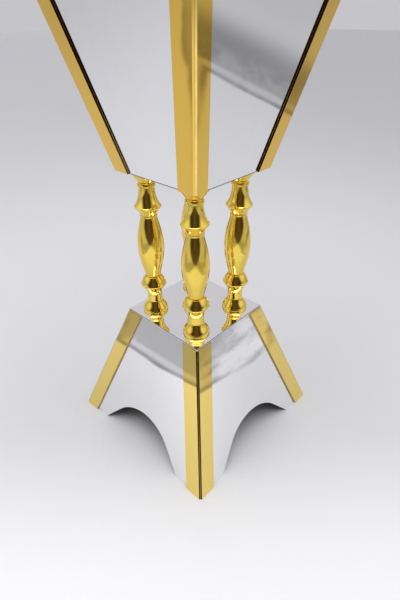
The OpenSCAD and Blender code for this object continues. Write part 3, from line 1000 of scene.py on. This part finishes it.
@dataclass
class TurnedPillars:
    """Four pillars, each of four turned and plated pieces on a tie rod.

    Args:
        foot_z: Height of the base's top plate, where the pillars stand.
        axis: Distance of each pillar's axis from the middle, along X and Y.
        bore: Radius of the hole for the tie rod.
        rim: Reach of the rounding of rims.
        crease: Reach of the rounding of small edges.
        segments: Steps round each piece.
        steps: Steps up each curve.
    """

    foot_z: float = 210.0 * MM
    axis: float = 44.5 * MM
    bore: float = 3.3 * MM
    rim: float = 1.0
    crease: float = 0.4
    segments: int = 112
    steps: int = 28

    def run(self, z: float, h: float, radius: Callable[[float], float]) -> List[Point]:
        """Give points up a height, with a radius for each share of it."""
        return [(radius(i / self.steps), z + h * i / self.steps) for i in range(self.steps + 1)]

    def ogee(self, r0: float, r1: float, z: float, h: float) -> List[Point]:
        """Give an S-shaped run from one radius to another."""
        return self.run(z, h, lambda t: r1 + (r0 - r1) * (1 + math.cos(math.pi * t)) / 2)

    def cove(self, r0: float, r1: float, z: float, h: float) -> List[Point]:
        """Give a hollow run that opens upwards."""
        return self.run(z, h, lambda t: r0 + (r1 - r0) * (1 - math.cos(math.pi / 2 * t)))

    def belly(self, r0: float, r1: float, swell: float, z: float, h: float) -> List[Point]:
        """Give a run that swells out in the middle."""
        return self.run(z, h, lambda t: r0 + (r1 - r0) * t + swell * math.sin(math.pi * t))

    def flare(self, r0: float, r1: float, power: float, z: float, h: float) -> List[Point]:
        """Give a run that narrows fast and then slowly."""
        return self.run(z, h, lambda t: r1 + (r0 - r1) * (1 - t) ** power)

    def foot(self) -> List[Point]:
        """Give the outline of the foot: ring, bell, neck, cove and collar."""
        shy = 19.6 - self.rim
        return (
            [(shy, 0.0), (shy, 2.5)]
            + self.ogee(19.6, 11.5, 2.5, 18.0)
            + self.cove(11.5, shy, 28.0, 18.5)
            + self.belly(shy, shy, self.rim, 46.5, 4.0)
            + self.belly(shy, 12.4, 0.7, 50.5, 11.5)
        )

    def vase(self) -> List[Point]:
        """Give the outline of the vase over its recess."""
        return [(10.8, 62.0), (10.8, 64.0)] + self.belly(11.3, 11.3, 8.1, 64.0, 93.0)

    def bell(self) -> List[Point]:
        """Give the outline of the bell between its two beads."""
        shy = 18.8 - self.rim
        return (
            [(12.3, 157.0), (12.3, 160.0), (11.8, 160.0)]
            + self.belly(shy, shy, self.rim, 170.0, 3.0)
            + self.flare(shy, 11.1, 2.4, 173.0, 27.0)
            + [(12.3, 200.0), (12.3, 203.0)]
        )

    def flange(self) -> List[Point]:
        """Give the outline of the flange under the box."""
        return [(10.6, 203.0), (10.6, 205.0), (21.5, 219.5), (21.5, 221.0)]

    def build(self) -> None:
        """Turn and place the sixteen pieces."""
        outlines = {"foot": self.foot(), "vase": self.vase()}
        outlines.update({"bell": self.bell(), "flange": self.flange()})
        for c, corner in enumerate(CORNERS):
            place = pillar_place(c, self.axis, self.foot_z)
            for part, outline in outlines.items():
                self.turn(f"{part}_{corner}", f"pillar_{part}_{corner}", outline, place)

    def turn(self, name: str, node: str, outline: List[Point], place: Matrix) -> None:
        """Turn one piece.

        Args:
            name: Name of the piece.
            node: The frame's node that it stands for.
            outline: Radius and height of each point, in millimetres.
            place: Where its axis stands.
        """
        bore = self.bore / MM
        low, high = outline[0][1], outline[-1][1]
        closed = [(bore, low)] + outline + [(bore, high)]
        shaped = softened(closed, self.crease)
        bm = bmesh.new()
        lathe(bm, [(r * MM, z * MM) for r, z in shaped], self.segments, place)
        dress(name, bm, PLATED, Body.STAND, Slot.PLATED, node, 32.0)


def pillar_place(corner: int, axis: float, height: float = 0.0) -> Matrix:
    """Give the place of the axis of a pillar, by the number of its corner."""
    turn = Matrix.Rotation(math.pi / 2 * corner, 4, "Z")
    return Matrix.Translation(turn @ Vector((axis, -axis, height)))


@dataclass
class TieRods:
    """The rods through the pillars, with their washers and nuts.

    Args:
        axis: Distance of each rod from the middle, along X and Y.
        radius: Radius of the rods.
        low: Height of their lower ends.
        high: Height of their upper ends.
        pitch: Pitch of their thread.
        thread: Length of the thread at each end.
        bore: Radius of the washers' holes.
        plate_under: Underside of the base's top plate.
        floor_top: Top of the box's floor.
        washer: Outer radius of the washers.
        washer_t: Thickness of the washers.
        flats: Width across the nuts' flats.
        nut_h: Height of the nuts.
        nut_bore: Radius of the nuts' holes.
    """

    axis: float = 44.5 * MM
    radius: float = 3.0 * MM
    low: float = 197.4 * MM
    high: float = 443.6 * MM
    pitch: float = 1.0 * MM
    thread: float = 13.0 * MM
    bore: float = 3.3 * MM
    plate_under: float = 207.0 * MM
    floor_top: float = 434.0 * MM
    washer: float = 9.0 * MM
    washer_t: float = 1.6 * MM
    flats: float = 10.0 * MM
    nut_h: float = 5.0 * MM
    nut_bore: float = 3.05 * MM

    def build(self) -> None:
        """Make the rods, washers and nuts."""
        rods, washers, nuts = bmesh.new(), bmesh.new(), bmesh.new()
        hole, rim, thick = self.bore, self.washer, self.washer_t
        ring = [(hole, thick), (hole, 0.0), (rim, 0.0), (rim, thick), (hole, thick)]
        ring = softened(ring, 0.3 * MM)[:-1]
        for c in range(4):
            place = pillar_place(c, self.axis)
            threaded_rod(rods, self.radius, self.low, self.high, self.thread, self.pitch, place)
            for z in (self.plate_under - thick, self.floor_top):
                lathe(washers, ring, 64, place @ Matrix.Translation((0, 0, z)))
            # The nuts of each rod stand at their own angle.
            spin = Matrix.Rotation(math.radians(13 + 31 * c), 4, "Z")
            for z in (self.plate_under - thick - self.nut_h, self.floor_top + thick):
                seat = place @ Matrix.Translation((0, 0, z)) @ spin
                hexagon_nut(nuts, self.flats, self.nut_h, self.nut_bore, seat)
        for name, bm, node, angle in (
            ("threaded_rods", rods, "tie_rods", 50.0),
            ("flat_washers", washers, "rod_washers", 28.0),
            ("hexagon_nuts", nuts, "rod_nuts", 20.0),
        ):
            dress(name, bm, ZINC_STEEL, Body.STAND, Slot.STEEL, node, angle)


# ------------------------------------------------------------ hinges and lock


@dataclass
class Hinges:
    """Two brass hinges with their pins and screws.

    Args:
        nodes: The frame's nodes by name.
        easing: Width of the eased edges.
        sharp: Only corners that turn by more than this many degrees are eased.
        head: Radius of the screw heads.
        head_h: Height of the screw heads.
        arc: Arc of the domed heads from crown to rim, in degrees.
        rim: Height of the dome's rim, as a share of the head's height.
        recess: Length, width and height of each bar of the cross recesses.
        shank: Radius of the screws.
        core: Radius of the hairline left along their axis.
        wall_depth: How far the wall's screws reach below their heads.
        lid_depth: How far the lid's screws do.
        lean: Lean of the box walls, in degrees.
    """

    nodes: Dict[str, Piece]
    easing: float = 0.12 * MM
    sharp: float = 35.0
    head: float = 2.5 * MM
    head_h: float = 1.2 * MM
    arc: float = 80.0
    rim: float = 0.35
    recess: Tuple[float, float, float] = (3.0 * MM, 0.55 * MM, 1.3 * MM)
    shank: float = 1.25 * MM
    core: float = 0.02 * MM
    wall_depth: float = 3.6 * MM
    lid_depth: float = 6.6 * MM
    lean: float = 13.406

    def build(self) -> None:
        """Make the leaves, pins and screws."""
        for hand in ("left", "right"):
            for leaf, body in (("wall_leaf", Body.STAND), ("lid_leaf", Body.LID)):
                name = f"{leaf}_{hand}"
                self.metal(name, f"hinge_{name}", BRASS, body, Slot.BRASS)
        self.metal("hinge_rods", "hinge_pins", PIN_STEEL)
        self.screws("wall_screws", "hinge_wall_screws", Body.STAND, self.wall_depth)
        self.screws("lid_screws", "hinge_lid_screws", Body.LID, self.lid_depth)

    def metal(
        self, name: str, node: str, finish: Finish, body: Body = Body.STAND, slot: Slot = Slot.STEEL
    ) -> None:
        """Make one metal piece of its node's shape, with eased edges."""
        dress(name, eased(self.nodes[node], self.easing, self.sharp), finish, body, slot, node)

    def screws(self, name: str, node: str, body: Body, depth: float) -> None:
        """Make the four screws of one node, with domed heads and cross recesses.

        Args:
            name: Name of the piece.
            node: The frame's node that gives their places.
            body: The body they ride on.
            depth: How far they reach below their heads.
        """
        bm, cuts = bmesh.new(), bmesh.new()
        arc = math.radians(self.arc)
        angles = [arc * i / 8 for i in range(1, 9)]
        outline = [(self.core, self.head_h)]
        outline += [(self.head * math.sin(a) / math.sin(arc), self.dome(a)) for a in angles]
        outline += [(self.head, 0.0), (self.shank, 0.0), (self.shank, -depth), (self.core, -depth)]
        outline.reverse()
        recess = Matrix.Diagonal((*self.recess, 1.0))
        for i, place in enumerate(self.screw_places(node, body)):
            # Each head was driven home at its own angle.
            turned = place @ Matrix.Rotation(math.radians(17 + 38 * i), 4, "Z")
            lathe(bm, outline, 40, turned)
            for turn in (0.0, math.pi / 2):
                bar = turned @ Matrix.Rotation(turn, 4, "Z")
                bar = bar @ Matrix.Translation((0, 0, self.head_h)) @ recess
                bmesh.ops.create_cube(cuts, size=1.0, matrix=bar)
        piece = new_piece(name, bm, [BRASS.material()])
        cut_away(piece, new_piece("cross_recesses", cuts, []))
        fit(smooth_rounds(piece), body, Slot.BRASS, node)

    def dome(self, a: float) -> float:
        """Give the height of the domed head at an angle from its crown."""
        end = math.cos(math.radians(self.arc))
        return self.head_h * (self.rim + (1 - self.rim) * (math.cos(a) - end) / (1 - end))

    def screw_places(self, node: str, body: Body) -> List[Matrix]:
        """Find where the screws of a node stand, from the node's own islands.

        Args:
            node: The frame's node.
            body: The body they ride on: the lid's are upright, the wall's lean.

        Returns:
            The place of the underside of each head, with Z along the screw.
        """
        bm = bmesh.new()
        bm.from_mesh(self.nodes[node].data)
        bmesh.ops.remove_doubles(bm, verts=bm.verts, dist=WELD)
        lean = math.radians(self.lean)
        up, out = Vector((0, 0, 1)), Vector((0, math.cos(lean), -math.sin(lean)))
        axis = up if body == Body.LID else out
        tilt = up.rotation_difference(axis).to_matrix().to_4x4()
        left = set(bm.verts)
        places = []
        while left:
            island, queue = [], [left.pop()]
            while queue:
                vert = queue.pop()
                island.append(vert.co.copy())
                for edge in vert.link_edges:
                    other = edge.other_vert(vert)
                    if other in left:
                        left.remove(other)
                        queue.append(other)
            middle = sum(island, Vector()) / len(island)
            top = max(p.dot(axis) for p in island) - self.head_h
            places.append(Matrix.Translation(middle + axis * (top - middle.dot(axis))) @ tilt)
        bm.free()
        return sorted(places, key=lambda m: (round(m.translation.x, 5), m.translation.y))


@dataclass
class CamLock(Hinges):
    """The cam lock in the lid and its keeper on the front wall.

    Args:
        axis_y: Place of the lock's axis along Y.
        lid_top: Height of the lid sheet's top.
        lid_under: Height of the lid sheet's underside.
        nut_flats: Width across the nut's flats.
        nut_h: Height of the nut.
        nut_bore: Radius of the nut's hole.
    """

    axis_y: float = -105.222 * MM
    lid_top: float = 734.0 * MM
    lid_under: float = 731.0 * MM
    nut_flats: float = 20.0 * MM
    nut_h: float = 4.0 * MM
    nut_bore: float = 8.05 * MM

    def build(self) -> None:
        """Make the barrel, nut, plug, cam and keeper."""
        self.barrel()
        bm = bmesh.new()
        place = Matrix.Translation((0, self.axis_y, self.lid_under - self.nut_h))
        hexagon_nut(bm, self.nut_flats, self.nut_h, self.nut_bore, place)
        dress("barrel_nut", bm, ZINC_STEEL, Body.LID, Slot.STEEL, "lock_nut", 20.0)
        self.metal("key_plug", "lock_plug", LOCK_STEEL, Body.LOCK)
        self.metal("cam_arm", "lock_cam", ZINC_STEEL, Body.LOCK)
        self.metal("keeper_bracket", "lock_keeper", ZINC_STEEL)

    def barrel(self) -> None:
        """Turn the barrel with its bevelled head."""
        outline = [
            (5.55, -18.5),
            (8.0, -18.5),
            (8.0, 0.0),
            (10.0, 0.0),
            (10.0, 1.3),
            (8.9, 2.5),
            (6.6, 2.5),
            (6.2, 2.2),
            (5.55, 2.2),
        ]
        closed = softened(outline + outline[:1], 0.3)[:-1]
        bm = bmesh.new()
        place = Matrix.Translation((0, self.axis_y, self.lid_top))
        lathe(bm, [(r * MM, z * MM) for r, z in closed], 96, place)
        dress("lock_barrel_turned", bm, LOCK_BRASS, Body.LID, Slot.BRASS, "lock_barrel")


# --------------------------------------------------------------------- studio


@dataclass(frozen=True)
class FloorPaper(Finish):
    """The floor: a pale sheet, with a greyer cloth past its edges and a dim side, all with painted
    light and shade.

    Args:
        middle: Colour of the sheet round the object; towards the front right the sheet is painted
            paler, as a painted pool of light.
        far: Colour of the sheet far behind.
        cloth: Colour of the cloth where it lies flat.
        hollow: Painted shade: colour of the cloth between its folds.
        painted_fold_highlight: Painted highlight: colour of the cloth on its folds and of the band
            along the sheet's rolled edge.
        outer: Colour of the cloth far out.
        fold: Colour of the shadow under the sheet's edge.
        dim: Painted shade: colour of the floor on the dim side of the room.
        right_edge: Where the sheet ends to the right.
        front_edge: Where it ends at the front.
        rear_edge: How far it reaches to the right and rear.
        knot: Where along the front edge the shadow is deepest.
        diagonal: Shares of X and Y in the way from the dim side to the far one.
    """

    middle: Colour = (0.72, 0.725, 0.75)
    far: Colour = (0.76, 0.76, 0.795)
    cloth: Colour = (0.43, 0.43, 0.45)
    hollow: Colour = (0.35, 0.35, 0.365)
    painted_fold_highlight: Colour = (0.80, 0.80, 0.82)
    outer: Colour = (0.74, 0.74, 0.76)
    fold: Colour = (0.26, 0.26, 0.28)
    dim: Colour = (0.10, 0.075, 0.07)
    right_edge: float = 0.435
    front_edge: float = -0.51
    rear_edge: float = 1.28
    knot: float = -0.31
    diagonal: Tuple[float, float] = (0.694, 0.72)

    def fill(self, graph: Graph) -> None:
        """Fill the tree: the sheet, the cloth, the edge's painted shadow and the painted shade of
        the dim side, with a painted pool of light and painted falloff.

        Args:
            graph: The tree's builder.
        """
        place = graph.place()
        x, y = graph.node("ShaderNodeSeparateXYZ", {"Vector": place}).outputs[:2]
        i, j = self.diagonal
        away = graph.weighted(x, -i, y, j)
        across = graph.weighted(x, j, y, i)
        past = graph.maths("MAXIMUM", self.past_right(graph, x, y), self.past_front(graph, x, y))
        wide = graph.minus(across, graph.plus(graph.times(away, 0.5), 0.7))
        past = graph.maths("MAXIMUM", past, self.past_rear(graph, x, y, wide))
        sway = graph.spread(graph.noise(place, 2.6, 1.0), 0.3, 0.7, -0.02, 0.02, False)
        past = graph.plus(past, sway)
        out = graph.maths("SQRT", graph.plus(graph.times(x, x), graph.times(y, y)))
        nearby = graph.spread(out, 1.7, 2.4, 1.0, 0.0)
        # Painted light: the sheet is paler towards the front right, as a pool of light, darker
        # round the object and a little paler far behind.
        near = graph.blend(graph.spread(away, -0.34, -0.05), self.colour, self.middle)
        sheet = graph.blend(graph.spread(away, 0.3, 3.6), near, self.far)
        covered = graph.times(graph.spread(past, -0.012, 0.012), nearby)
        lit = graph.blend(covered, sheet, self.folded_cloth(graph, place, x, y, past))
        shadow = graph.times(self.edge_shadow(graph, place, x, past), nearby)
        lit = graph.blend(shadow, lit, self.fold)
        # Painted shade: the floor darkens by 4 to 15 percent from the front left to the rear right,
        # as light falling off.
        lit = graph.blend(graph.spread(across, -1.2, 1.2, 0.04, 0.15, False), lit, (0, 0, 0))
        # Painted shade: far out to the front right the floor is painted dark, as the dim side of
        # the room.
        aside = graph.times(graph.maths("ABSOLUTE", across), 0.85)
        painted_gloom = graph.spread(graph.minus(graph.times(away, -1.0), aside), 0.72, 1.25)
        graph.surface(
            {
                "Base Color": graph.blend(painted_gloom, lit, self.dim),
                "Roughness": self.roughness,
                "Specular IOR Level": 0.2,
                "Normal": graph.bump(graph.noise(place, 260.0, 3.0), 0.0002),
            }
        )

    def folded_cloth(
        self, graph: Graph, place: Socket, x: Socket, y: Socket, past: Socket
    ) -> Socket:
        """Give the cloth's colour: painted light and shade on folds gathered to the right, a
        painted highlight past the sheet's edge, darker at the rear, plain far out.

        Args:
            graph: The tree's builder.
            place: The place on the floor.
            x: Its X.
            y: Its Y.
            past: How far it lies past the sheet's edge.

        Returns:
            The colour.
        """
        lying = graph.stretched(graph.stretched(place, (1, 1, 1), (0, 0, -52)), (0.42, 1.0, 1.0))
        folds = graph.noise(lying, 6.0, 2.0, 0.45, 0.4)
        creases = graph.noise(lying, 20.0, 2.0, 0.5, 0.8)
        folds = graph.plus(folds, graph.spread(creases, 0.3, 0.7, -0.07, 0.07, False))
        # Painted light and shade: fold crests are painted pale and the hollows between them dark.
        painted_fold_shading = graph.blend(graph.spread(folds, 0.34, 0.63), self.hollow, self.painted_fold_highlight)
        inner = graph.spread(past, 0.16, 0.34, 1.0, 0.0)
        gathered = graph.times(graph.spread(y, 0.05, 0.22), inner)
        gathered = graph.times(gathered, graph.spread(y, 0.65, 0.85, 1.0, 0.45))
        cloth = graph.blend(gathered, self.cloth, painted_fold_shading)
        ending = graph.spread(y, 1.2, 1.8, 1.0, 0.0)
        behind = graph.times(graph.spread(y, 0.7, 0.9, 0.0, 0.3), ending)
        cloth = graph.blend(behind, cloth, (0, 0, 0))
        # Painted highlight: a pale band just past the sheet's edge, as light on its rolled hem.
        hem_highlight = graph.spread(graph.apart(past, 0.065), 0.01, 0.045, 0.45, 0.0)
        cloth = graph.blend(graph.times(hem_highlight, graph.spread(x, -0.54, -0.46)), cloth, self.painted_fold_highlight)
        return graph.blend(graph.spread(past, 0.35, 0.95), cloth, self.outer)

    def edge_shadow(self, graph: Graph, place: Socket, x: Socket, past: Socket) -> Socket:
        """Give the strength of the shadow under the sheet's edge, which has one deep knot.

        Args:
            graph: The tree's builder.
            place: The place on the floor.
            x: Its X.
            past: How far it lies past the sheet's edge.

        Returns:
            The strength.
        """
        uneven = graph.spread(graph.noise(place, 6.0, 1.0), 0.35, 0.65, 0.2, 0.7, False)
        knot = graph.spread(graph.apart(x, self.knot), 0.015, 0.07, 1.0, 0.0)
        line = graph.spread(graph.apart(past, 0.012), 0.0, 0.03, 1.0, 0.0)
        return graph.times(line, graph.maths("MAXIMUM", uneven, knot))

    def past_right(self, graph: Graph, x: Socket, y: Socket) -> Socket:
        """Give how far a place lies past the right edge, which slants away at both ends."""
        slants = graph.plus(graph.ramp(y, 0.42, 0.8), graph.ramp(0.3, y, 0.4))
        return graph.minus(x, graph.plus(slants, self.right_edge))

    def past_front(self, graph: Graph, x: Socket, y: Socket) -> Socket:
        """Give how far a place lies past the front edge, which slants away at both ends."""
        edge = graph.minus(self.front_edge, graph.ramp(x, -0.3, 0.35))
        return graph.minus(graph.minus(edge, graph.ramp(-0.48, x, 1.05)), y)

    def past_rear(self, graph: Graph, x: Socket, y: Socket, wide: Socket) -> Socket:
        """Give how far a place lies past the rear edge, or past its end if that is less."""
        reach = graph.minus(graph.weighted(x, 0.514, y, 0.858), self.rear_edge)
        return graph.maths("MINIMUM", reach, wide)


@dataclass
class Studio:
    """The floor, the lamp, the surroundings and the camera.

    Args:
        paper: Finish of the floor.
        reach: Half the floor's width.
        turn: Turn of the camera round the object, in degrees.
        distance: Level distance of the camera from the middle.
        height: Height of the camera.
        pan: Turn of the view to the side, in degrees.
        pitch: Tilt of the view down, in degrees.
        roll: Roll of the view, in degrees.
        focal: Focal length, in pixels of the frame.
        frame: The longer side of the frame, in pixels.
        skirting: Colour of the surroundings at the floor.
        side_wall: Colour of the walls beside the dim one.
        far_wall: Colour of the wall that faces the dim one.
        ceiling: Colour of the ceiling.
        dim_side: Colour of the dim wall towards its edges.
        dim_middle: Colour of its middle.
    """

    paper: FloorPaper = field(
        default_factory=lambda: FloorPaper("floor_paper", (0.92, 0.92, 0.94), 0.7)
    )
    reach: float = 20.0
    turn: float = 43.959
    distance: float = 549.42 * MM
    height: float = 598.0 * MM
    pan: float = -0.810
    pitch: float = 34.353
    roll: float = -0.411
    focal: float = 418.25
    frame: float = 600.0
    skirting: Colour = (0.56, 0.555, 0.585)
    side_wall: Colour = (0.92, 0.92, 0.93)
    far_wall: Colour = (0.62, 0.61, 0.64)
    ceiling: Colour = (0.95, 0.95, 0.96)
    dim_side: Colour = (0.052, 0.043, 0.042)
    dim_middle: Colour = (0.108, 0.074, 0.068)

    def build(self) -> None:
        """Set the floor, the world, the lamp and the camera."""
        self.floor()
        self.world()
        self.lamp("overhead_lamp", place=(0.15, -0.2, 1.9), size=1.6, power=22.0)
        self.camera()
        bpy.context.scene.view_settings.view_transform = "Standard"

    def floor(self) -> None:
        """Lay the floor."""
        bm = bmesh.new()
        bmesh.ops.create_grid(bm, x_segments=8, y_segments=8, size=self.reach)
        piece = new_piece("studio_floor", bm, [self.paper.material()])

    def world(self) -> None:
        """Light the scene from all round, with one dim side of the room."""
        world = bpy.data.worlds.new("soft_room")
        world.use_nodes = True
        bpy.context.scene.world = world
        graph = Graph(world.node_tree)
        ray = graph.node("ShaderNodeTexCoord").outputs["Generated"]
        x, y, z = graph.node("ShaderNodeSeparateXYZ", {"Vector": ray}).outputs
        a = math.radians(self.turn)
        level = graph.plus(graph.maths("POWER", x, 2.0), graph.maths("POWER", y, 2.0))
        level = graph.maths("MAXIMUM", graph.maths("SQRT", level), 0.001)
        towards = graph.weighted(x, math.sin(a), y, -math.cos(a))
        near = graph.maths("DIVIDE", towards, level)
        inside = graph.minus(near, graph.spread(z, 0.0, 0.85, 0.6, 0.76))
        dim = graph.times(graph.spread(inside, -0.2, 0.16), graph.spread(z, 0.66, 0.88, 1.0, 0.0))
        dim_wall = graph.blend(graph.spread(near, 0.9, 1.0), self.dim_side, self.dim_middle)
        wall = graph.blend(graph.spread(near, -0.9, 0.1), self.far_wall, self.side_wall)
        wall = graph.blend(graph.spread(z, 0.0, 0.35), self.skirting, wall)
        room = graph.blend(graph.spread(z, 0.7, 0.95), wall, self.ceiling)
        colour = graph.blend(dim, room, dim_wall)
        background = graph.node("ShaderNodeBackground", {"Color": colour, "Strength": 1.0})
        graph.node("ShaderNodeOutputWorld", {"Surface": background.outputs[0]})

    def lamp(self, name: str, place: Sequence[float], size: float, power: float) -> None:
        """Hang a soft square lamp that shines at the object.

        Args:
            name: Name of the lamp.
            place: Where it hangs.
            size: Its width.
            power: Its power, in watts.
        """
        light = bpy.data.lights.new(name, "AREA")
        light.size = size
        light.energy = power
        lamp = bpy.data.objects.new(name, light)
        bpy.context.scene.collection.objects.link(lamp)
        lamp.location = place
        aim = Vector((0, 0, 0.2)) - Vector(place)
        lamp.rotation_euler = aim.to_track_quat("-Z", "Y").to_euler()

    def camera(self) -> None:
        """Set the camera."""
        angles = (self.turn, self.pan, self.pitch, self.roll)
        a, pan, pitch, roll = map(math.radians, angles)
        right = Vector((math.cos(a), math.sin(a), 0))
        ahead = Vector((-math.sin(a), math.cos(a), 0))
        side = right * math.cos(pan) + ahead * math.sin(pan)
        ahead = ahead * math.cos(pan) - right * math.sin(pan)
        up = ahead * math.sin(pitch) + Vector((0, 0, math.cos(pitch)))
        x_axis = side * math.cos(roll) + up * math.sin(roll)
        y_axis = up * math.cos(roll) - side * math.sin(roll)
        z_axis = x_axis.cross(y_axis)
        data = bpy.data.cameras.new("camera")
        data.sensor_width = 36.0
        data.lens = self.focal * data.sensor_width / self.frame
        data.clip_start = 0.01
        camera = bpy.data.objects.new("camera", data)
        bpy.context.scene.collection.objects.link(camera)
        turned = Matrix((x_axis, y_axis, z_axis)).transposed().to_4x4()
        place = Vector((math.sin(a) * self.distance, -math.cos(a) * self.distance, self.height))
        camera.matrix_world = Matrix.Translation(place) @ turned
        bpy.context.scene.camera = camera


def main() -> None:
    """Build every sub-assembly and the studio."""
    logging.basicConfig(level=logging.INFO, format="%(name)s: %(message)s")
    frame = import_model()
    nodes = frame["nodes"]
    Studio().build()
    FlaredBase(nodes).build()
    TurnedPillars().build()
    TieRods().build()
    PyramidBox(nodes).build()
    Lid(nodes).build()
    Hinges(nodes).build()
    CamLock(nodes).build()


if __name__ == "__main__":
    main()
